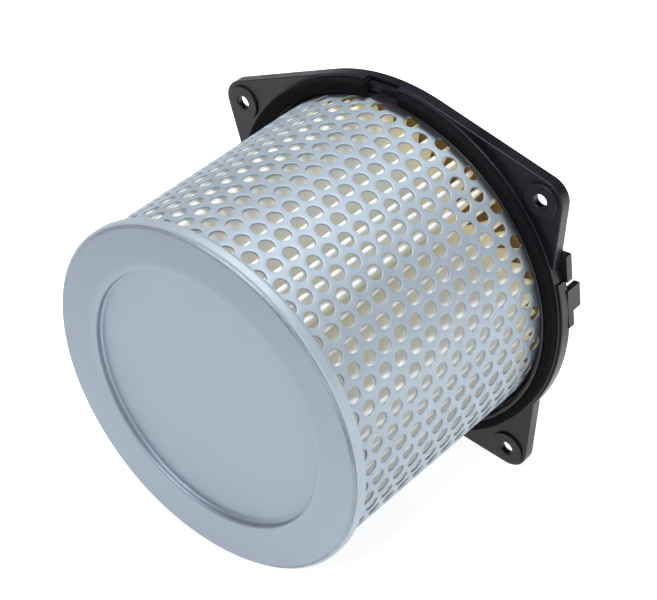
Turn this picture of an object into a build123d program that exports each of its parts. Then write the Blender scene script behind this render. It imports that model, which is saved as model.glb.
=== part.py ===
from build123d import *
import math
import os

os.makedirs("parts", exist_ok=True)

# Panel-mounted drum air filter. Millimetres.
# The drum's axis is Y: its closed end faces -Y and its clean-air outlet faces +Y.
# +Z is the flange's line of symmetry. Y = 0 is the flat back of the flange and its ears.

# Drum
SCREEN_R = 70.6  # outer radius of the outer screen
SHEET = 0.8  # steel of both screens and of the end cap
INNER_R = 46.8  # outer radius of the inner screen
CAP_FACE_Y = -117.3  # outer face of the closed end
FLOOR_Y = -4.6  # floor of the cup in the flange that holds the open end

# Perforation of both screens, round holes in staggered rows: hole diameter, pitch along Y, number of
# rows, degrees between rows. The outer rows leave a wider plain strip where the rolled sheet closes.
OUTER_PUNCHING = (6.1, 8.5, 58, 6.143)
INNER_PUNCHING = (7.0, 10.0, 28, 360 / 28)
FIRST_HOLE_Y = -107.3  # a hole of the rows that aren't staggered
ROW_DEG = 33.4  # angle from the top, towards +X, of the row opposite the closing strip
HOLE_EDGE_MIN = 0.6  # metal left between a hole and the end of its screen

# End cap
CAP_R = 71.6
SKIRT_LENGTH = 5.0
CAP_EDGE_R = 0.9
RECESS_R = 53.8
RECESS_DEPTH = 3.0

# Pleated paper
PLEATS = 64
PAPER = 0.6
PLEAT_TIP_R = 69.3
PLEAT_ROOT_R = 48.0
PLEAT_BEND_R = 0.75  # centre-line radius of each fold

# Strip that joins the ends of the paper: pleat it lies in, thickness, and its span as shares of a leg
SEAM_PLEAT = 38
SEAM = 0.5
SEAM_SPAN = (0.3, 0.7)

# Wire gauze around the inner screen
GAUZE = 0.5

# Adhesive: depth of the beds at the two ends, and of the bead outside the screen at its two sides
CLOSED_BED = 1.0
OPEN_BED = 2.8
BOND_BEAD = (2.2, 1.6)

# Flange
PLATE = 5.1
EDGE_R = 0.4  # rounding of the outline's front and back edges
RING_R = 78.7
THROAT_R = 44.0
COLLAR = 1.8
COLLAR_FRONT_Y = -10.2
RIM_HEIGHT = 2.0
RIM = 3.4
LIP_R = 74.1
LIP = 1.5
LIP_TOP_Y = -10.3
CHANNEL_R = 77.7
CHANNEL_FLOOR_Y = -3.2
BEAD = 0.8
BEAD_TOP_Y = -6.2
LIP_GAP_DEG = (-4.0, 0.5)  # break in the lip beside the key
LOW_LIP_DEG = (-110.0, -4.0)  # stretch where the lip is lower than the foam
LOW_LIP_Y = -6.6
KEY_DEG = (-3.0, 8.7)  # moulded key that closes the channel at the top
KEY_TOP_Y = -6.0
KEY_R = 77.0
NOTCH_DEG = (-4.3, 7.1)  # break in the channel's outer wall in front of the key
NOTCH_Y = -3.8

# Ears: outward normals of their straight sides, in degrees from the top, and distances from the axis
UPPER_HOLE = (72.5, 49.1)
LOWER_HOLE = (49.7, -74.1)
TOP_SIDE = (18.7, RING_R)
OUTER_SIDE = (100.6, 71.3)
BOTTOM_SIDE = (191.5, 71.2)
EAR_CORNER_R = 8.8
EAR_BLEND_R = 3.0
EAR_HOLE_D = 5.6
BOSS_D = 14.4
BOSS_HEIGHT = 1.0
HOLE_CHAMFER = 0.4
EAR_WEB = 1.8  # plastic left behind the front face where the back of an ear is hollow
EAR_WALL = 1.2
EAR_HOLLOW_R = 79.0  # radius from the axis at which the hollows begin

# Back of the flange
POCKET_R = (51.0, 75.5)
POCKET_DEPTH = 1.6
RIBS = 16
RIB = 1.8

# Side clip behind the flange and the thicker stretch of ring beside it
CLIP_X = (72.0, 79.5)
CLIP_THICKNESS = 2.3
CLIP_UPPER_Z = (13.3, 24.6)
CLIP_LOWER_Z = (-7.3, 9.3)
CLIP_BLOCK_Z = (-0.9, 9.3)
CLIP_BLOCK_X = 76.9
CLIP_BLOCK_DEPTH = 6.8
PAD_R = 79.4
PAD_DEG = (80.0, 126.0)

# Foam seal
FOAM_TOP_Y = -9.4
FOAM_GAP = 0.15  # clearance to the walls of the channel
FOAM_END_DEG = 0.3  # clearance to the two sides of the key

CAP_INSIDE_Y = CAP_FACE_Y + SHEET
RECESS_INSIDE_Y = CAP_FACE_Y + RECESS_DEPTH + SHEET
PAPER_START_Y = RECESS_INSIDE_Y + CLOSED_BED
PAPER_END_Y = FLOOR_Y - OPEN_BED


def polar(angle_deg, radius):
    """Point in the plan of the flange (X, Z), its angle measured from +Z towards +X."""
    angle = math.radians(angle_deg)
    return (radius * math.sin(angle), radius * math.cos(angle))


def turned(profile):
    """Solid of revolution around Y from (radius, y) points."""
    return revolve(make_face(Polyline(*profile, close=True)), Axis.Y)


def sector(start_deg, end_deg, inner_r, outer_r, low_y, high_y):
    """Block between two angles, two radii and two heights along Y."""
    middle = (start_deg + end_deg) / 2
    outline = make_face(
        [
            ThreePointArc(polar(start_deg, outer_r), polar(middle, outer_r), polar(end_deg, outer_r)),
            Line(polar(end_deg, outer_r), polar(end_deg, inner_r)),
            ThreePointArc(polar(end_deg, inner_r), polar(middle, inner_r), polar(start_deg, inner_r)),
            Line(polar(start_deg, inner_r), polar(start_deg, outer_r)),
        ]
    )
    return extrude(Plane.XZ.offset(-high_y) * outline, high_y - low_y)


def prism(x_range, y_range, z_range):
    """Block from its ranges along the three axes."""
    lows = (x_range[0], y_range[0], z_range[0])
    sizes = (x_range[1] - x_range[0], y_range[1] - y_range[0], z_range[1] - z_range[0])
    return Pos(*lows) * Box(*sizes, align=(Align.MIN, Align.MIN, Align.MIN))


def perforated_tube(outer_r, start_y, punching):
    """Rolled tube from start_y to the flange's cup, with whole round holes only."""
    hole_d, pitch, rows, row_deg = punching
    inner_r = outer_r - SHEET
    tube = turned([(inner_r, start_y), (outer_r, start_y), (outer_r, FLOOR_Y), (inner_r, FLOOR_Y)])
    margin = hole_d / 2 + HOLE_EDGE_MIN
    punches = []
    for row in range(-(rows // 2), rows - rows // 2):
        row_y = FIRST_HOLE_Y + (pitch / 2 if row % 2 else 0)
        x, z = polar(ROW_DEG + row_deg * row, 1)
        outward = Vector(x, 0, z)
        first = math.ceil((start_y + margin - row_y) / pitch)
        last = math.floor((FLOOR_Y - margin - row_y) / pitch)
        for step in range(first, last + 1):
            centre = outward * (outer_r - SHEET / 2) + Vector(0, row_y + step * pitch, 0)
            punches.append(Plane(origin=centre, z_dir=outward) * Cylinder(hole_d / 2, 4 * SHEET))
    return tube.cut(*punches)


def side_corner(first, second):
    """Where two straight sides of the flange's outline meet."""
    (a1, d1), (a2, d2) = first, second
    n1, n2 = polar(a1, 1), polar(a2, 1)
    det = n1[0] * n2[1] - n1[1] * n2[0]
    return ((d1 * n2[1] - d2 * n1[1]) / det, (n1[0] * d2 - n2[0] * d1) / det)


def ear_outline(first, second):
    """Ear between two straight sides, with its corner rounded, joined to the axis."""
    corner = side_corner(first, second)
    face = make_face(Polyline((0, 0), polar(*first), corner, polar(*second), close=True))
    tip = face.vertices().sort_by_distance((corner[0], corner[1], 0))[0]
    return fillet(tip, EAR_CORNER_R)


def flange_outline():
    """Outline of the flange in plan: the ring with its four ears."""
    ears = [ear_outline(TOP_SIDE, OUTER_SIDE), ear_outline(OUTER_SIDE, BOTTOM_SIDE)]
    outline = Circle(RING_R) + ears
    outline += [mirror(ear, Plane.YZ) for ear in ears]
    outline = outline.clean()
    inner_corners = [
        v for v in outline.vertices() if abs(math.hypot(v.X, v.Y) - RING_R) < 0.01 and v.Y < RING_R * 0.9
    ]
    return fillet(inner_corners, EAR_BLEND_R)


def ear_holes():
    """Centres of the four ear holes (X, Z)."""
    return [(side * x, z) for (x, z) in (UPPER_HOLE, LOWER_HOLE) for side in (1, -1)]


def front_plane(y):
    """Plane square to the drum's axis that faces the closed end."""
    return Plane.XZ.offset(-y)


def make_ear_bosses(outline):
    """Low round bosses on the fronts of the ears, cut off where they would pass the ears' edges."""
    boss = extrude(Circle(BOSS_D / 2), BOSS_HEIGHT)
    boss = fillet(boss.edges().sort_by(Axis.Z)[-1], BOSS_HEIGHT / 3)
    inside = extrude(front_plane(-PLATE) * offset(outline, -EDGE_R), BOSS_HEIGHT)
    return [(front_plane(-PLATE) * Pos(x, z) * boss) & inside for x, z in ear_holes()]


def make_ear_hollows(outline):
    """Hollows in the backs of the ears."""
    plan = offset(outline, -EAR_WALL) - Circle(EAR_HOLLOW_R)
    return [extrude(front_plane(0) * face, PLATE - EAR_WEB) for face in plan.faces()]


def make_pad():
    """Slightly thicker stretch of the ring beside the clip."""
    pad = sector(*PAD_DEG, RING_R - 3, PAD_R, -PLATE, 0)
    rims = [e for e in pad.edges().filter_by(GeomType.CIRCLE) if abs(e.radius - PAD_R) < 0.01]
    return fillet(rims, EDGE_R)


def make_flange():
    outline = flange_outline()
    plate = extrude(front_plane(0) * outline, PLATE)
    faces = plate.faces().sort_by(Axis.Y)
    plate = fillet(faces[0].edges() + faces[-1].edges(), EDGE_R)
    plate += make_ear_bosses(outline)
    plate -= make_ear_hollows(outline)
    plate += make_pad()

    # Bead round the foam's channel, the channel itself, and the cup for the drum
    plate += turned(
        [
            (CHANNEL_R - 1, -PLATE + 1),
            (CHANNEL_R - 1, BEAD_TOP_Y),
            (CHANNEL_R + BEAD - 0.3, BEAD_TOP_Y),
            (CHANNEL_R + BEAD, BEAD_TOP_Y + 0.3),
            (CHANNEL_R + BEAD, -PLATE + 1),
        ]
    )
    plate -= turned(
        [
            (0, CHANNEL_FLOOR_Y),
            (CHANNEL_R, CHANNEL_FLOOR_Y),
            (CHANNEL_R, BEAD_TOP_Y - 1),
            (0, BEAD_TOP_Y - 1),
        ]
    )
    lip_base = LIP_R - LIP
    lip = turned(
        [
            (0, 0),
            (LIP_R, 0),
            (LIP_R, LIP_TOP_Y + 0.5),
            (LIP_R - 0.5, LIP_TOP_Y),
            (lip_base + 0.5, LIP_TOP_Y),
            (lip_base, LIP_TOP_Y + 0.5),
            (lip_base, FLOOR_Y),
            (0, FLOOR_Y),
        ]
    )
    lip -= sector(*LIP_GAP_DEG, lip_base - 1, LIP_R + 1, LIP_TOP_Y - 1, FLOOR_Y)
    lip -= sector(*LOW_LIP_DEG, lip_base - 1, LIP_R + 1, LIP_TOP_Y - 1, LOW_LIP_Y)
    plate += lip
    plate -= sector(*NOTCH_DEG, CHANNEL_R - 1.5, RING_R + 1, BEAD_TOP_Y - 1, NOTCH_Y)
    plate += sector(*KEY_DEG, LIP_R - 0.2, KEY_R, KEY_TOP_Y, CHANNEL_FLOOR_Y + 0.5)

    # Collar that carries the inner screen, and the rim on the back
    plate += turned(
        [
            (0, COLLAR_FRONT_Y),
            (THROAT_R + COLLAR, COLLAR_FRONT_Y),
            (THROAT_R + COLLAR, -1),
            (THROAT_R + RIM, -1),
            (THROAT_R + RIM, RIM_HEIGHT - 0.8),
            (THROAT_R + RIM - 0.8, RIM_HEIGHT),
            (0, RIM_HEIGHT),
        ]
    )
    plate -= turned(
        [
            (0, COLLAR_FRONT_Y - 1),
            (THROAT_R, COLLAR_FRONT_Y - 1),
            (THROAT_R, RIM_HEIGHT - 1.0),
            (THROAT_R + 1.0, RIM_HEIGHT),
            (THROAT_R + 1.0, RIM_HEIGHT + 1),
            (0, RIM_HEIGHT + 1),
        ]
    )

    # Ribbed pocket on the back
    pocket = turned(
        [
            (POCKET_R[0], -POCKET_DEPTH),
            (POCKET_R[1], -POCKET_DEPTH),
            (POCKET_R[1], 1),
            (POCKET_R[0], 1),
        ]
    )
    rib = prism((-RIB / 2, RIB / 2), (-POCKET_DEPTH, 1), (POCKET_R[0] - 1, POCKET_R[1] + 1))
    for index in range(RIBS):
        pocket -= Rot(0, 360 * (index + 0.5) / RIBS, 0) * rib
    plate -= pocket

    # Side clip: two flat tabs behind the ring, the lower one with a block on its edge
    clip = prism(CLIP_X, (-1, CLIP_THICKNESS), CLIP_UPPER_Z)
    clip += prism(CLIP_X, (-1, CLIP_THICKNESS), CLIP_LOWER_Z)
    clip += prism((CLIP_BLOCK_X, CLIP_X[1]), (0, CLIP_BLOCK_DEPTH), CLIP_BLOCK_Z)
    clip -= turned([(0, -2), (RING_R, -2), (RING_R, 0), (0, 0)])
    plate += clip

    for x, z in ear_holes():
        top = front_plane(-PLATE - BOSS_HEIGHT) * Pos(x, z)
        plate -= front_plane(1) * Pos(x, z) * extrude(Circle(EAR_HOLE_D / 2), PLATE + BOSS_HEIGHT + 2)
        plate -= top * Cone(EAR_HOLE_D / 2, EAR_HOLE_D / 2 + 2 * HOLE_CHAMFER, 2 * HOLE_CHAMFER)
    return plate


def make_foam():
    """Foam strip in the channel, its two ends against the key."""
    inner = LIP_R + FOAM_GAP
    outer = CHANNEL_R - FOAM_GAP
    ring = turned(
        [(inner, FOAM_TOP_Y), (outer, FOAM_TOP_Y), (outer, CHANNEL_FLOOR_Y), (inner, CHANNEL_FLOOR_Y)]
    )
    key_gap = (KEY_DEG[0] - FOAM_END_DEG, KEY_DEG[1] + FOAM_END_DEG)
    return ring - sector(*key_gap, inner - 1, outer + 1, FOAM_TOP_Y - 1, CHANNEL_FLOOR_Y + 1)


def make_end_cap():
    """Pressed steel cup: rounded edge, short skirt, shallow round recess in its face."""
    skirt_end = CAP_FACE_Y + SKIRT_LENGTH
    recess_y = CAP_FACE_Y + RECESS_DEPTH
    cap = turned(
        [
            (0, recess_y),
            (RECESS_R, recess_y),
            (RECESS_R, CAP_FACE_Y),
            (CAP_R, CAP_FACE_Y),
            (CAP_R, skirt_end),
            (CAP_R - SHEET, skirt_end),
            (CAP_R - SHEET, CAP_INSIDE_Y),
            (RECESS_R + SHEET, CAP_INSIDE_Y),
            (RECESS_R + SHEET, RECESS_INSIDE_Y),
            (0, RECESS_INSIDE_Y),
        ]
    )

    def rounded(radius, y, size):
        nonlocal cap
        edge = cap.edges().filter_by(GeomType.CIRCLE).sort_by(
            lambda e: abs(e.radius - radius) + abs(e.arc_center.Y - y)
        )[0]
        cap = fillet(edge, size)

    rounded(CAP_R, CAP_FACE_Y, CAP_EDGE_R)
    rounded(CAP_R - SHEET, CAP_INSIDE_Y, CAP_EDGE_R - SHEET)
    rounded(RECESS_R, CAP_FACE_Y, 1.2)
    rounded(RECESS_R, recess_y, 0.8)
    rounded(RECESS_R + SHEET, CAP_INSIDE_Y, 0.4)
    rounded(RECESS_R + SHEET, RECESS_INSIDE_Y, 1.6)
    return cap


def leg_normal(tip, root, turn):
    """Normal of the straight leg between two folds; turn is +1 where the leg lies clockwise of the tip."""
    span = root - tip
    along = span.normalized()
    across = Vector(-along.Y, along.X) * turn
    lean = math.asin(2 * PLEAT_BEND_R / span.length)
    return across * math.cos(lean) + along * math.sin(lean)


def fold_centre(index, outer):
    """Centre of a fold of the paper: the tip of pleat number index, or the root that follows it."""
    step = 360 / PLEATS
    inset = PAPER / 2 + PLEAT_BEND_R
    if outer:
        return Vector(*polar(index * step, PLEAT_TIP_R - inset))
    return Vector(*polar((index + 0.5) * step, PLEAT_ROOT_R + inset))


def pleat_face(side):
    """Area inside one face of the pleats; side is +1 for the outer face and -1 for the inner."""
    tip_bend = PLEAT_BEND_R + side * PAPER / 2
    root_bend = PLEAT_BEND_R - side * PAPER / 2
    edges = []
    for index in range(PLEATS):
        before, tip, root, following = (
            fold_centre(index - 1, False),
            fold_centre(index, True),
            fold_centre(index, False),
            fold_centre(index + 1, True),
        )
        arriving = leg_normal(tip, before, -1)
        down = leg_normal(tip, root, 1)
        up = leg_normal(following, root, -1)
        tip_top = tip + tip.normalized() * tip_bend
        root_bottom = root - root.normalized() * root_bend
        edges.append(ThreePointArc(tip + arriving * tip_bend, tip_top, tip + down * tip_bend))
        edges.append(Line(tip + down * tip_bend, root - down * root_bend))
        edges.append(ThreePointArc(root - down * root_bend, root_bottom, root - up * root_bend))
        edges.append(Line(root - up * root_bend, following + up * tip_bend))
    return make_face(edges)


def make_paper():
    section = pleat_face(1) - pleat_face(-1)
    return extrude(front_plane(PAPER_END_Y) * section, PAPER_END_Y - PAPER_START_Y, dir=(0, -1, 0))


def make_seam_strip():
    """Strip that joins the two ends of the pleated paper, glued along the inside of one leg."""
    tip = fold_centre(SEAM_PLEAT, True)
    root = fold_centre(SEAM_PLEAT, False)
    normal = leg_normal(tip, root, 1)
    start = tip + normal * (PLEAT_BEND_R - PAPER / 2)
    end = root - normal * (PLEAT_BEND_R + PAPER / 2)
    near = start + (end - start) * SEAM_SPAN[0]
    far = start + (end - start) * SEAM_SPAN[1]
    section = make_face(Polyline(near, far, far - normal * SEAM, near - normal * SEAM, close=True))
    return extrude(front_plane(PAPER_END_Y) * section, PAPER_END_Y - PAPER_START_Y, dir=(0, -1, 0))


def make_gauze():
    return turned(
        [
            (INNER_R, PAPER_START_Y),
            (INNER_R + GAUZE, PAPER_START_Y),
            (INNER_R + GAUZE, PAPER_END_Y),
            (INNER_R, PAPER_END_Y),
        ]
    )


def make_closed_bed():
    """Adhesive in the cap: a disc ring that fills the pocket round the recess."""
    inner = INNER_R - SHEET
    outer = SCREEN_R - SHEET
    pocket = RECESS_R + SHEET + 1.7
    return turned(
        [
            (inner, RECESS_INSIDE_Y),
            (pocket, RECESS_INSIDE_Y),
            (pocket, CAP_INSIDE_Y),
            (outer, CAP_INSIDE_Y),
            (outer, PAPER_START_Y),
            (inner, PAPER_START_Y),
        ]
    )


def make_open_bed():
    """Adhesive in the flange's cup, between the two screens, that holds the paper's open end."""
    return turned(
        [
            (INNER_R, PAPER_END_Y),
            (SCREEN_R - SHEET, PAPER_END_Y),
            (SCREEN_R - SHEET, FLOOR_Y),
            (INNER_R, FLOOR_Y),
        ]
    )


def make_bond_bead():
    """Bead in the gap between the outer screen and the cup's wall."""
    wall_r = LIP_R - LIP
    return turned(
        [
            (SCREEN_R, FLOOR_Y - BOND_BEAD[0]),
            (wall_r, FLOOR_Y - BOND_BEAD[1]),
            (wall_r, FLOOR_Y),
            (SCREEN_R, FLOOR_Y),
        ]
    )


parts = {
    "flange_frame": make_flange(),
    "foam_seal": make_foam(),
    "end_cap": make_end_cap(),
    "outer_screen": perforated_tube(SCREEN_R, CAP_INSIDE_Y + 0.5, OUTER_PUNCHING),
    "inner_screen": perforated_tube(INNER_R, PAPER_START_Y, INNER_PUNCHING),
    "gauze_sleeve": make_gauze(),
    "pleated_paper": make_paper(),
    "pleat_seam_strip": make_seam_strip(),
    "closed_end_adhesive": make_closed_bed(),
    "open_end_adhesive": make_open_bed(),
    "flange_bond_bead": make_bond_bead(),
}
for name, shape in parts.items():
    export_step(shape, f"parts/{name}.step")
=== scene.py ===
import math

import bpy
from mathutils import Euler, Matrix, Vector, noise


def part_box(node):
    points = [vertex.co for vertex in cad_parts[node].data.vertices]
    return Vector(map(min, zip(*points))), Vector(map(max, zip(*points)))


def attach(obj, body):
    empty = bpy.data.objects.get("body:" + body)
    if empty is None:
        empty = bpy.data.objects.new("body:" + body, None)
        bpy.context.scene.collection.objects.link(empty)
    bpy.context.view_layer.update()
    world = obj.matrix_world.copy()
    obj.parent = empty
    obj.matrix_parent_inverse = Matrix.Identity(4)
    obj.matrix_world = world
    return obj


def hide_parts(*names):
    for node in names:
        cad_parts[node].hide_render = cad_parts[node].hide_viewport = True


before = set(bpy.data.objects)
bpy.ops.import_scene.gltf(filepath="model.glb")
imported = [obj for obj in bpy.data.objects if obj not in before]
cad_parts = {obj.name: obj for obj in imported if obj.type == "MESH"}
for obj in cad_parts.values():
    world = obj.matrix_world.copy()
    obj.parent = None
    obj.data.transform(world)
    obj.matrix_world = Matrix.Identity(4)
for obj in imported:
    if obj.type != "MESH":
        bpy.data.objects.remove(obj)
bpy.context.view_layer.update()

# Lengths are in millimetres and angles in degrees unless a name says otherwise.
# The drum's axis is Y: closed end towards -Y, outlet towards +Y. Angles run from +Z towards +X.
MM = 0.001

# Perforation: hole diameter, pitch along the drum, number of rows, degrees between rows
OUTER_PUNCHING = (6.1, 8.5, 58, 6.143)
INNER_PUNCHING = (7.0, 10.0, 28, 360 / 28)
FIRST_HOLE_Y = -107.3
ROW_DEG = 33.4  # angle of the row opposite the strip where the sheet closes
HOLE_EDGE_MIN = 0.6  # least metal between a hole and the end of the sheet
SHEET = 0.8
HOLE_SIDES = 24
CELL_SIDES = 6
# Section of a punched edge: distance outside the hole's radius, depth below the sheet's face
PUNCHED_EDGE = ((0.22, 0), (0.10, 0.02), (0.02, 0.09), (0, 0.2), (0, SHEET))
CLOSING_STRIP = 0.07  # half width of the plain strip where the sheet closes, in rows
SHEET_WAVE = 0.14
SHEET_INSET = 0.05  # keeps the wavy sheet within its nominal radius

# End cap
CAP_R = 71.6
RECESS_R = 53.8
RECESS_DEPTH = 3.0
CAP_EDGE_R = 0.9
SKIRT_GROOVES = (1.5, 2.2, 3.0, 3.9)  # distances of the fine drawn lines from the cap's face
GROOVE_HALF = 0.2
GROOVE_DEPTH = 0.08
CAP_UNEVEN = 0.16
CAP_SEGMENTS = 384

# Pleated paper
PLEATS = 64
PAPER = 0.5
PLEAT_TIP_R = 69.3
PLEAT_ROOT_R = 48.0
PLEAT_BEND_R = 0.75
BEND_HALF_DEG = 80
BEND_STEPS = 6
PAPER_ROWS = 40
SEAM_PLEAT = 38  # pleat whose tip and roots are held straight by the seam strip

# Foam seal
FOAM_R = (74.2, 77.6)
FOAM_ARC = (9.0, 356.7)
FOAM_EDGE_R = 0.7
FOAM_STEPS = 300
LOW_LIP_FROM = 252  # from here round to the key the flange's lip is lower and the foam spreads over it
FOAM_SPREAD = 1.9
SPREAD_STARTS_IN = 15

# Adhesive bead between the drum and the flange
BEAD_GAP = 0.05
BEAD_SEGMENTS = 360


# ---------------------------------------------------------------- geometry helpers


def polar(angle, radius, y):
    """Point in metres at an angle round the drum, a radius and a place along it."""
    a = math.radians(angle)
    return Vector((radius * math.sin(a), y, radius * math.cos(a))) * MM


def make_object(name, points, faces, sharp_deg=35):
    """Mesh object in the scene, smooth except where its faces meet at more than sharp_deg."""
    mesh = bpy.data.meshes.new(name)
    mesh.from_pydata(points, [], faces)
    mesh.validate()
    mesh.polygons.foreach_set("use_smooth", [True] * len(mesh.polygons))
    mesh.set_sharp_from_angle(angle=math.radians(sharp_deg))
    mesh.update()
    piece = bpy.data.objects.new(name, mesh)
    bpy.context.scene.collection.objects.link(piece)
    return piece


def rounded(corners, steps=6):
    """Polyline through (radius, y, corner radius) corners, each rounded to its corner radius."""
    line = []
    for index, (x, y, r) in enumerate(corners):
        here = Vector((x, y))
        if r == 0 or index in (0, len(corners) - 1):
            line.append(here)
            continue
        before = Vector(corners[index - 1][:2]) - here
        after = Vector(corners[index + 1][:2]) - here
        before.normalize()
        after.normalize()
        half = before.angle(after) / 2
        reach = r / math.tan(half)
        middle = here + (before + after).normalized() * (r / math.sin(half))
        start = here + before * reach - middle
        end = here + after * reach - middle
        for step in range(steps + 1):
            line.append(middle + start.slerp(end, step / steps))
    return line


def lathe(name, profile, segments, wobble, closed=False):
    """Solid of revolution around the drum's axis from (radius, y) points.

    An open profile starts and ends on the axis. wobble(point) moves a point a little.
    """
    points, faces, rings = [], [], []
    for r, y in profile:
        if r < 1e-6:
            rings.append([len(points)] * segments)
            points.append(Vector((0, y, 0)) * MM)
            continue
        rings.append(list(range(len(points), len(points) + segments)))
        points += [polar(360 * k / segments, r, y) for k in range(segments)]
    pairs = list(zip(rings, rings[1:] + rings[:1])) if closed else list(zip(rings, rings[1:]))
    for low, high in pairs:
        for k in range(segments):
            n = (k + 1) % segments
            corners = [low[k], low[n], high[n], high[k]]
            faces.append(list(dict.fromkeys(corners)))
    return make_object(name, [wobble(p) for p in points], faces)


# ---------------------------------------------------------------- material helpers


class Material:
    """A node material with a Principled shader and short ways to add its textures."""

    def __init__(self, name, **sockets):
        self.material = bpy.data.materials.new(name)
        self.material.use_nodes = True
        self.tree = self.material.node_tree
        self.shader = self.tree.nodes["Principled BSDF"]
        self.coords = self.add("ShaderNodeTexCoord").outputs["Object"]
        for socket, value in sockets.items():
            self.shader.inputs[socket.replace("_", " ")].default_value = value

    def add(self, kind, **settings):
        node = self.tree.nodes.new(kind)
        for key, value in settings.items():
            setattr(node, key, value)
        return node

    def join(self, source, target):
        self.tree.links.new(source, target)
        return source

    def stretched(self, x, y, z):
        """Object coordinates scaled along each axis."""
        mapping = self.add("ShaderNodeMapping")
        mapping.inputs["Scale"].default_value = (x, y, z)
        self.join(self.coords, mapping.inputs["Vector"])
        return mapping.outputs["Vector"]

    def noise(self, size, detail=3.0, roughness=0.55, coords=None):
        """Noise whose blotches are about size millimetres across."""
        node = self.add("ShaderNodeTexNoise")
        node.inputs["Scale"].default_value = 1000 / size
        node.inputs["Detail"].default_value = detail
        node.inputs["Roughness"].default_value = roughness
        self.join(coords or self.coords, node.inputs["Vector"])
        return node.outputs["Fac"]

    def cells(self, size, feature="F1"):
        node = self.add("ShaderNodeTexVoronoi", feature=feature)
        node.inputs["Scale"].default_value = 1000 / size
        self.join(self.coords, node.inputs["Vector"])
        return node.outputs["Distance"]

    def ramp(self, source, *stops):
        """Colour ramp from (position, colour) stops; a number stands for a grey."""
        node = self.add("ShaderNodeValToRGB")
        band = node.color_ramp
        while len(band.elements) < len(stops):
            band.elements.new(0.5)
        for element, (place, colour) in zip(band.elements, stops):
            element.position = place
            grey = isinstance(colour, (int, float))
            element.color = (colour, colour, colour, 1) if grey else (*colour, 1)
        self.join(source, node.inputs["Fac"])
        return node.outputs["Color"]

    def math(self, operation, first, second):
        node = self.add("ShaderNodeMath", operation=operation)
        for value, socket in zip((first, second), node.inputs):
            if isinstance(value, (int, float)):
                socket.default_value = value
            else:
                self.join(value, socket)
        return node.outputs["Value"]

    def mix(self, factor, first, second, blend="MIX"):
        """Two colours mixed; each is a socket or an (r, g, b)."""
        node = self.add("ShaderNodeMix", data_type="RGBA", blend_type=blend)
        for value, index in ((factor, 0), (first, 6), (second, 7)):
            if isinstance(value, float):
                node.inputs[index].default_value = value
            elif isinstance(value, tuple):
                node.inputs[index].default_value = (*value, 1)
            else:
                self.join(value, node.inputs[index])
        return node.outputs[2]

    def position(self, axis):
        """Object coordinate along X, Y or Z in metres."""
        node = self.add("ShaderNodeSeparateXYZ")
        self.join(self.coords, node.inputs[0])
        return node.outputs[axis]

    def radius(self):
        """Distance from the drum's axis in metres."""
        x, z = self.position("X"), self.position("Z")
        square = self.math("ADD", self.math("MULTIPLY", x, x), self.math("MULTIPLY", z, z))
        return self.math("SQRT", square, 0)

    def spread(self, source, low, high):
        """The source's span from low to high as 0 to 1."""
        node = self.add("ShaderNodeMapRange")
        node.inputs["From Min"].default_value = low
        node.inputs["From Max"].default_value = high
        self.join(source, node.inputs["Value"])
        return node.outputs["Result"]

    def colour(self, source):
        self.join(source, self.shader.inputs["Base Color"])

    def rough(self, source):
        self.join(source, self.shader.inputs["Roughness"])

    def bump(self, *layers):
        """Stacked bumps from (height, depth in millimetres) layers."""
        normal = None
        for height, depth in layers:
            node = self.add("ShaderNodeBump")
            node.inputs["Distance"].default_value = depth * MM
            self.join(height, node.inputs["Height"])
            if normal is not None:
                self.join(normal, node.inputs["Normal"])
            normal = node.outputs["Normal"]
        self.join(normal, self.shader.inputs["Normal"])


def black_plastic():
    m = Material("moulded_black_plastic", Roughness=0.36, Specular_IOR_Level=0.36)
    grain = m.noise(0.35, 2)
    clouds = m.noise(14, 4)
    scuffs = m.noise(1.6, 5, 0.7, m.stretched(1, 0.35, 0.5))
    marks = m.ramp(scuffs, (0.62, 0.0), (0.72, 1.0))
    base = m.ramp(clouds, (0.3, (0.003, 0.003, 0.006)), (0.75, (0.007, 0.007, 0.012)))
    m.colour(m.mix(m.math("MULTIPLY", marks, 0.35), base, (0.075, 0.075, 0.085)))
    dullness = m.math("ADD", clouds, m.math("MULTIPLY", marks, 0.25))
    m.rough(m.ramp(dullness, (0.3, 0.30), (0.9, 0.52)))
    m.bump((grain, 0.012), (scuffs, 0.02))
    return m.material


def foam_rubber():
    m = Material("foam_rubber", Roughness=0.95, Specular_IOR_Level=0.05)
    pores = m.cells(0.75)
    fuzz = m.noise(0.5, 4, 0.7)
    tone = m.math("ADD", m.math("MULTIPLY", pores, 0.6), m.math("MULTIPLY", fuzz, 0.6))
    m.colour(m.ramp(tone, (0.2, (0.001, 0.001, 0.0015)), (0.8, (0.011, 0.010, 0.012))))
    m.bump((pores, 0.25), (fuzz, 0.2))
    return m.material


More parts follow.
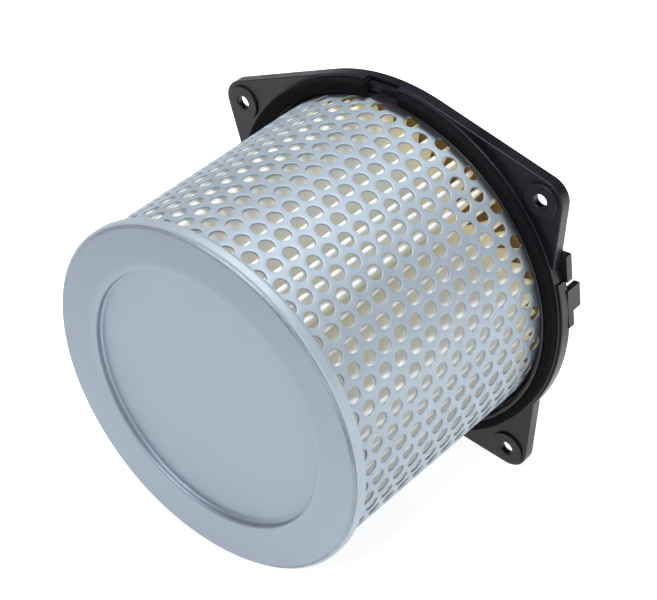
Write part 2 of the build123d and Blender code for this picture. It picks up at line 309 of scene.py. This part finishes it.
def cap_zinc():
    m = Material("zinc_cap", Metallic=0.85, Roughness=0.48)
    sheen = m.noise(45, 3)
    grain = m.noise(0.25, 2)
    nicks = m.noise(2.2, 6, 0.75)
    mark = m.ramp(nicks, (0.70, 0.0), (0.76, 1.0))
    base = m.ramp(sheen, (0.3, (0.315, 0.365, 0.43)), (0.7, (0.34, 0.39, 0.455)))
    # Painted shade: the face outside the recess is coloured darker towards its top
    outside = m.spread(m.radius(), (RECESS_R + 1) * MM, (RECESS_R + 4) * MM)
    upper = m.spread(m.position("Z"), -0.045, 0.06)
    painted_top_shade = m.math("MULTIPLY", m.math("MULTIPLY", outside, upper), 0.5)
    base = m.mix(painted_top_shade, base, m.mix(1.0, base, (0.72, 0.73, 0.75), "MULTIPLY"))
    # Painted light: the drawn skirt is coloured paler than the face, for the light it catches; it is
    # also made less metallic
    skirt = m.spread(m.radius(), (CAP_R - 0.8) * MM, (CAP_R - 0.25) * MM)
    base = m.mix(skirt, base, (0.40, 0.465, 0.53))
    m.join(m.ramp(skirt, (0.0, 0.85), (1.0, 0.45)), m.shader.inputs["Metallic"])
    m.colour(m.mix(m.math("MULTIPLY", mark, 0.5), base, (0.20, 0.235, 0.28)))
    m.rough(m.ramp(sheen, (0.3, 0.46), (0.7, 0.56)))
    m.bump((grain, 0.01), (nicks, 0.02))
    return m.material


def screen_zinc(name, light, dark):
    m = Material(name, Metallic=0.5, Roughness=0.5)
    sheen = m.noise(30, 3)
    grain = m.noise(0.3, 2)
    m.colour(m.ramp(sheen, (0.3, dark), (0.7, light)))
    m.rough(m.ramp(m.noise(6, 4), (0.3, 0.48), (0.7, 0.6)))
    m.bump((grain, 0.008), (m.noise(9, 2), 0.05))
    return m.material


def filter_paper():
    m = Material(
        "resin_treated_paper",
        Roughness=0.85,
        Subsurface_Weight=0.6,
        Subsurface_Scale=0.002,
        Subsurface_Radius=(1.0, 0.85, 0.6),
        # Painted light: strength of the paper's glow
        Emission_Strength=0.18,
    )
    depth = m.spread(m.radius(), PLEAT_ROOT_R * MM, PLEAT_TIP_R * MM)
    mottle = m.noise(3.0, 5, 0.6)
    shade = m.math("ADD", depth, m.math("MULTIPLY", m.math("SUBTRACT", mottle, 0.5), 0.15))
    # Tone across the pleats' depth, yellower at the roots; the folded tips are coloured a little
    # darker, painted shade that tones down the light falling full on them
    tone = m.ramp(
        shade,
        (0.0, (0.58, 0.56, 0.45)),
        (0.55, (0.61, 0.60, 0.545)),
        (0.88, (0.58, 0.58, 0.56)),
        (0.97, (0.55, 0.555, 0.55)),
    )
    # Adhesive soaks into the paper next to the flange and yellows it
    stain_and_glow_zone = m.math("MULTIPLY", m.spread(m.position("Y"), -0.024, -0.008), 0.8)
    m.colour(m.mix(stain_and_glow_zone, tone, m.mix(1.0, tone, (0.97, 0.91, 0.70), "MULTIPLY")))
    # Painted light: the paper glows a little though it is no lamp, so its folds are never black; in
    # the soaked zone by the flange the glow is stronger and yellower, painted light in the flange's
    # shade
    painted_glow = m.ramp(depth, (0.3, (0.78, 0.78, 0.70)), (0.95, (0.82, 0.83, 0.82)))
    m.join(m.mix(stain_and_glow_zone, painted_glow, (1.5, 1.35, 0.85)), m.shader.inputs["Emission Color"])
    m.bump((m.noise(0.22, 3), 0.03), (m.noise(1.4, 3), 0.05))
    return m.material


def gauze_steel():
    m = Material("woven_steel_gauze", Metallic=0.9, Roughness=0.4)
    m.colour(m.ramp(m.noise(2, 3), (0.3, (0.36, 0.37, 0.38)), (0.7, (0.55, 0.56, 0.57))))
    m.bump((m.noise(0.3, 2), 0.02))
    return m.material


def amber_adhesive():
    m = Material("cured_adhesive", Roughness=0.3)
    m.colour(m.ramp(m.noise(5, 4), (0.3, (0.10, 0.055, 0.014)), (0.7, (0.24, 0.14, 0.035))))
    m.bump((m.noise(4, 3), 0.4), (m.noise(0.8, 2), 0.05))
    return m.material


def shade_dark_adhesive():
    # Painted shade: the bead is coloured near-black for the shade in the deep gap between the drum and
    # the flange
    m = Material("bonding_adhesive_painted_dark", Roughness=0.4, Specular_IOR_Level=0.4)
    m.colour(m.ramp(m.noise(4, 4), (0.3, (0.006, 0.006, 0.007)), (0.7, (0.014, 0.013, 0.012))))
    m.bump((m.noise(3, 3), 0.3), (m.noise(0.7, 2), 0.05))
    return m.material


def strip_film():
    m = Material("hot_melt_strip", Roughness=0.45)
    m.colour(m.ramp(m.noise(3, 4), (0.3, (0.55, 0.47, 0.32)), (0.7, (0.72, 0.65, 0.50))))
    m.bump((m.noise(0.6, 3), 0.04))
    return m.material


# ---------------------------------------------------------------- pieces


def perforated_screen(name, node, punching):
    """Rolled sheet with staggered round punched holes, their outer edges drawn in by the punch.

    Each hole sits in a six-sided cell, and neighbouring cells share the points of their outlines.
    """
    hole_d, pitch, rows, row_deg = punching
    low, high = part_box(node)
    outer_r, start_y, end_y = high.x / MM, low.y / MM, high.y / MM
    inner_r = outer_r - SHEET
    hole_r = hole_d / 2
    spacing = math.radians(row_deg) * outer_r
    share = (spacing**2 + pitch**2 / 4) / (2 * spacing)
    near, far = share - pitch**2 / (4 * spacing), share
    half = pitch / 2
    corners = [(far, 0), (near, half), (-near, half), (-far, 0), (-near, -half), (near, -half)]
    outline = []
    per_side = HOLE_SIDES // CELL_SIDES
    for index, (x, y) in enumerate(corners):
        next_x, next_y = corners[(index + 1) % CELL_SIDES]
        for step in range(per_side):
            t = step / per_side
            outline.append((x * (1 - t) + next_x * t, y * (1 - t) + next_y * t))
    turns = [2 * math.pi * k / HOLE_SIDES for k in range(HOLE_SIDES)]
    circle = [(math.cos(a), math.sin(a)) for a in turns]
    # From the cell's outline down the hole and back to the outline inside: hole radius, drum radius
    rings = [(None, outer_r)]
    rings += [(hole_r + out, outer_r - down) for out, down in PUNCHED_EDGE]
    rings += [(None, inner_r)]
    points, faces, shared, edges = [], [], {}, {}
    round_trip = spacing * rows
    plain_from = rows / 2 - CLOSING_STRIP

    def angle_at(x):
        """Angle round the drum; the closing strip takes up what the rows leave over."""
        place = (x / spacing + 0.5) % rows
        place -= rows if place > rows / 2 else 0
        beyond = max(0.0, abs(place) - plain_from) / (rows / 2 - plain_from)
        turn = row_deg * min(abs(place), plain_from) + beyond * (180 - row_deg * plain_from)
        return ROW_DEG - row_deg / 2 + math.copysign(turn, place)

    def vertex(x, y, radius):
        points.append(polar(angle_at(x), radius, y))
        return len(points) - 1

    def shared_vertex(x, y, radius):
        key = (round(x, 3), round(y, 3), radius)
        if key not in shared:
            shared[key] = vertex(x, y, radius)
        return shared[key]

    margin = hole_r + HOLE_EDGE_MIN
    for row in range(rows):
        row_y = FIRST_HOLE_Y + (pitch / 2 if row % 2 else 0)
        first = math.ceil((start_y + margin - row_y) / pitch - 1e-6)
        last = math.floor((end_y - margin - row_y) / pitch + 1e-6)
        for step in range(first, last + 1):
            cx, cy = row * spacing, row_y + step * pitch
            loops = []
            for size, radius in rings:
                if size is None:
                    loop = [shared_vertex((cx + x) % round_trip, cy + y, radius) for x, y in outline]
                else:
                    loop = [vertex(cx + size * x, cy + size * y, radius) for x, y in circle]
                loops.append(loop)
            for a, b in zip(loops, loops[1:]):
                for k in range(HOLE_SIDES):
                    n = (k + 1) % HOLE_SIDES
                    faces.append((a[k], a[n], b[n], b[k]))
            for k in range(HOLE_SIDES):
                n = (k + 1) % HOLE_SIDES
                a, b = loops[0][k], loops[0][n]
                if (b, a) in edges:
                    del edges[(b, a)]
                else:
                    edges[(a, b)] = (loops[-1][k], loops[-1][n])
    # Plain margins at the two ends, and the sheet's cut edges
    ends = {}

    def end_vertex(index, y):
        key = (index, y)
        if key not in ends:
            p = points[index]
            points.append(Vector((p.x, y * MM, p.z)))
            ends[key] = len(points) - 1
        return ends[key]

    middle_y = (start_y + end_y) / 2 * MM
    for (a, b), (ia, ib) in edges.items():
        y = start_y if points[a].y < middle_y else end_y
        if abs(points[a].y / MM - y) < 0.01 and abs(points[b].y / MM - y) < 0.01:
            faces.append((a, b, ib, ia))
            continue
        ea, eb, ja, jb = end_vertex(a, y), end_vertex(b, y), end_vertex(ia, y), end_vertex(ib, y)
        faces += [(b, a, ea, eb), (ia, ib, jb, ja), (ea, ja, jb, eb)]
    for p in points:
        wave = noise.noise(Vector((p.x, p.y * 0.6, p.z)) * 28) * SHEET_WAVE * MM
        outward = Vector((p.x, 0, p.z)).normalized()
        p += outward * (wave - SHEET_INSET * MM)
    return make_object(name, points, faces, sharp_deg=50)


def make_cap():
    """Pressed cup with a rounded rim, a short grooved skirt and a shallow round recess."""
    low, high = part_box("end_cap")
    face, end, r = low.y / MM, high.y / MM, high.x / MM
    floor = face + RECESS_DEPTH
    outside = [(0, floor + 0.25, 0), (RECESS_R * 0.6, floor + 0.12, 0), (RECESS_R, floor, 1.0)]
    outside += [(RECESS_R, face, 0.9), (r, face, CAP_EDGE_R)]
    for place in SKIRT_GROOVES:
        outside += [
            (r, face + place - GROOVE_HALF, 0.08),
            (r - GROOVE_DEPTH, face + place, 0.08),
            (r, face + place + GROOVE_HALF, 0.08),
        ]
    outside += [(r, end, 0.3), (r - SHEET, end, 0.2)]
    inside = [
        (r - SHEET, face + SHEET, CAP_EDGE_R - SHEET),
        (RECESS_R + SHEET, face + SHEET, 0.4),
        (RECESS_R + SHEET, floor + SHEET, 1.6),
        (0, floor + SHEET, 0),
    ]

    def pressed(p):
        """Slight unevenness of a pressed and crimped sheet, mostly inwards and most at the rim."""
        if p.x == 0 and p.z == 0:
            return p
        rim = max(0.0, min(1.0, (math.hypot(p.x, p.z) / MM - RECESS_R) / 10))
        p.y += (0.5 - noise.noise(p * 22)) * CAP_UNEVEN * MM * (0.4 + rim)
        return p

    return lathe("cap_sheet", rounded(outside + inside), CAP_SEGMENTS, pressed)


def pleat_tip(index, y_share):
    """Angle and radius of a pleat's tip, a little uneven as folded paper is."""
    if index % PLEATS == SEAM_PLEAT:
        return 360 * index / PLEATS, PLEAT_TIP_R
    wander = noise.noise(Vector((index * 7.31, y_share * 1.6, 0.5)))
    lean = noise.noise(Vector((index * 3.77, 4.2, 0.5)))
    angle = 360 * index / PLEATS + 1.3 * lean + 0.35 * wander
    return angle, PLEAT_TIP_R - 0.7 * abs(noise.noise(Vector((index * 5.1, y_share * 1.2, 9.5))))


def pleat_root(index, y_share):
    """Angle and radius of the root that follows a pleat."""
    wander = noise.noise(Vector((index * 9.13, y_share * 1.4, 2.5)))
    if index % PLEATS in (SEAM_PLEAT, SEAM_PLEAT - 1):
        wander = 0
    return 360 * (index + 0.5) / PLEATS + 0.4 * wander, PLEAT_ROOT_R


def make_paper():
    """Pleated sheet with rounded folds that wander a little, each in its own way."""
    low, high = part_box("pleated_paper")
    start, end = low.y / MM, high.y / MM
    inset = PAPER / 2 + PLEAT_BEND_R
    loops = []
    for row in range(PAPER_ROWS + 1):
        share = row / PAPER_ROWS
        y = start + (end - start) * share
        centre = []
        for index in range(PLEATS):
            tip_angle, tip_r = pleat_tip(index, share)
            root_angle, root_r = pleat_root(index, share)
            before_angle, before_r = pleat_root(index - 1, share)
            tip = polar(tip_angle, tip_r - inset, 0).xz / MM
            root = polar(root_angle, root_r + inset, 0).xz / MM
            before = polar(before_angle, before_r + inset, 0).xz / MM
            for middle, came_from, outward in ((tip, before, 1), (root, tip, -1)):
                out = middle.normalized() * outward
                back = Vector((-out.y, out.x))
                if back.dot(came_from - middle) < 0:
                    back = -back
                for k in range(BEND_STEPS + 1):
                    a = math.radians(BEND_HALF_DEG * (2 * k / BEND_STEPS - 1))
                    centre.append(middle + (out * math.cos(a) - back * math.sin(a)) * PLEAT_BEND_R)
        loops.append((y, centre))
    points, faces = [], []
    count = len(loops[0][1])
    for side in (1, -1):
        for y, centre in loops:
            for k, p in enumerate(centre):
                along = centre[(k + 1) % count] - centre[k - 1]
                normal = Vector((-along.y, along.x)).normalized()
                q = p + normal * side * PAPER / 2
                points.append(Vector((q.x, y, q.y)) * MM)
    layer = len(loops) * count
    for side in (0, 1):
        for row in range(PAPER_ROWS):
            for k in range(count):
                n = (k + 1) % count
                a = side * layer + row * count
                quad = (a + k, a + n, a + count + n, a + count + k)
                faces.append(quad if side else quad[::-1])
    for k in range(count):
        n = (k + 1) % count
        last = PAPER_ROWS * count
        faces.append((k, n, layer + n, layer + k))
        faces.append((last + n, last + k, layer + last + k, layer + last + n))
    return make_object("pleated_sheet", points, faces, 70)


def make_foam():
    """Foam strip laid in its channel, with soft edges, slightly uneven, its ends cut square."""
    low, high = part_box("foam_seal")
    top, bottom = low.y / MM, high.y / MM
    inner, outer = FOAM_R
    points, faces = [], []
    for step in range(FOAM_STEPS + 1):
        angle = FOAM_ARC[0] + (FOAM_ARC[1] - FOAM_ARC[0]) * step / FOAM_STEPS
        spread = FOAM_SPREAD * max(0.0, min(1.0, (angle - LOW_LIP_FROM) / SPREAD_STARTS_IN))
        section = rounded(
            [
                (inner, bottom, 0),
                (inner, top + 2.6, 0),
                (inner - spread, top + 2.2, 0),
                (inner - spread, top, FOAM_EDGE_R),
                (outer, top, FOAM_EDGE_R),
                (outer, bottom, 0),
            ],
            steps=5,
        )
        for r, y in section:
            p = polar(angle, r, y)
            lift = (y - bottom) / (top - bottom)
            p.y += (0.18 + noise.noise(p * 70) * 0.2) * MM * lift
            p += Vector((p.x, 0, p.z)).normalized() * noise.noise(p * 160) * 0.12 * MM * lift
            points.append(p)
    count = len(section)
    for step in range(FOAM_STEPS):
        for k in range(count):
            n = (k + 1) % count
            a = step * count
            faces.append((a + k, a + n, a + count + n, a + count + k))
    faces.append(list(range(count))[::-1])
    faces.append([FOAM_STEPS * count + k for k in range(count)])
    return make_object("foam_strip", points, faces, 50)


def make_bond_bead():
    """Poured bead of adhesive between the drum and the wall of its cup, with a sagging, lumpy top."""
    low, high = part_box("flange_bond_bead")
    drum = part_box("outer_screen")[1]
    inner, outer = drum.x / MM + BEAD_GAP, high.x / MM - BEAD_GAP
    top, bottom = low.y / MM, high.y / MM
    middle = (inner + outer) / 2
    section = [(inner, bottom), (inner, top)]
    section += [(middle, top + 0.9), (outer, top + 0.6), (outer, bottom)]

    def poured(p):
        """Lumps in the bead's free top; its bottom stays flat."""
        if (bottom * MM - p.y) / MM > 0.5:
            p.y += (0.3 + 0.35 * noise.noise(p * 90)) * MM
        return p

    return lathe("poured_bead", section, BEAD_SEGMENTS, poured, closed=True)


# ---------------------------------------------------------------- the object

zinc_screen = screen_zinc("zinc_screen", (0.395, 0.46, 0.525), (0.355, 0.42, 0.485))
inner_zinc = screen_zinc("zinc_inner_screen", (0.45, 0.49, 0.53), (0.38, 0.42, 0.46))
adhesive = amber_adhesive()

drum_screen = perforated_screen("punched_screen", "outer_screen", OUTER_PUNCHING)
core_screen = perforated_screen("punched_core", "inner_screen", INNER_PUNCHING)
made = [
    (drum_screen, "outer_screen", zinc_screen),
    (core_screen, "inner_screen", inner_zinc),
    (make_cap(), "end_cap", cap_zinc()),
    (make_paper(), "pleated_paper", filter_paper()),
    (make_foam(), "foam_seal", foam_rubber()),
    (make_bond_bead(), "flange_bond_bead", shade_dark_adhesive()),
]
for piece, node, finish in made:
    piece.data.materials.append(finish)
    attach(piece, "root")
    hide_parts(node)

kept = {
    "flange_frame": black_plastic(),
    "gauze_sleeve": gauze_steel(),
    "pleat_seam_strip": strip_film(),
    "closed_end_adhesive": adhesive,
    "open_end_adhesive": adhesive,
}
for node, finish in kept.items():
    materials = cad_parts[node].data.materials
    materials.clear()
    materials.append(finish)

# ---------------------------------------------------------------- stage, light and camera

floor_mesh = bpy.data.meshes.new("floor")
floor_mesh.from_pydata([(-6, -6, 0), (6, -6, 0), (6, 6, 0), (-6, 6, 0)], [], [(0, 1, 2, 3)])
floor = bpy.data.objects.new("floor", floor_mesh)
bpy.context.scene.collection.objects.link(floor)
floor.location = (0, -0.0047, -0.0830)
floor.rotation_euler = (math.radians(-5.6), 0, 0)
floor_finish = Material(
    "pale_floor", Base_Color=(0.45, 0.45, 0.45, 1), Roughness=0.9, Emission_Color=(1, 1, 1, 1)
)
# Brighter behind the object, where the background is plain white
behind = floor_finish.spread(floor_finish.position("Y"), -0.05, 0.4)
floor_finish.join(
    floor_finish.math("ADD", floor_finish.math("MULTIPLY", behind, 0.9), 0.8),
    floor_finish.shader.inputs["Emission Strength"],
)
floor_mesh.materials.append(floor_finish.material)


def softbox(name, place, size, power, target=(0, -0.055, 0)):
    """Rectangular light at place, in metres, facing the target."""
    data = bpy.data.lights.new(name, "AREA")
    data.shape = "RECTANGLE"
    data.size, data.size_y = size
    data.energy = power
    lamp = bpy.data.objects.new(name, data)
    bpy.context.scene.collection.objects.link(lamp)
    lamp.location = place
    lamp.rotation_euler = (Vector(target) - Vector(place)).to_track_quat("-Z", "Y").to_euler()


softbox("key_softbox", (0.2, -0.05, 1.25), (0.9, 0.9), 22)
softbox("edge_softbox", (0.45, -1.0, 0.85), (0.15, 0.15), 2.5)

# A bright white room, dim above and behind the object
world = bpy.data.worlds.new("studio")
bpy.context.scene.world = world
world.use_nodes = True
tree = world.node_tree
background = tree.nodes["Background"]
coords = tree.nodes.new("ShaderNodeTexCoord")
towards = tree.nodes.new("ShaderNodeVectorMath")
towards.operation = "DOT_PRODUCT"
towards.inputs[1].default_value = Vector((0.15, 0.6, 0.78)).normalized()
band = tree.nodes.new("ShaderNodeValToRGB")
band.color_ramp.elements[0].position = 0.35
band.color_ramp.elements[0].color = (0.95, 0.97, 1.0, 1)
band.color_ramp.elements[1].position = 0.8
band.color_ramp.elements[1].color = (0.06, 0.065, 0.07, 1)
tree.links.new(coords.outputs["Generated"], towards.inputs[0])
tree.links.new(towards.outputs["Value"], band.inputs["Fac"])
tree.links.new(band.outputs["Color"], background.inputs["Color"])
background.inputs["Strength"].default_value = 0.45

camera_data = bpy.data.cameras.new("camera")
camera_data.lens = 112.94
camera_data.sensor_width = 36
camera_data.clip_end = 50
camera = bpy.data.objects.new("camera", camera_data)
bpy.context.scene.collection.objects.link(camera)
camera.location = (0.45223, -0.51366, 0.44166)
camera.rotation_euler = Euler([math.radians(a) for a in (55.822, 5.682, 40.173)])
bpy.context.scene.camera = camera
bpy.context.scene.view_settings.view_transform = "Standard"
bpy.context.scene.cycles.diffuse_bounces = 12
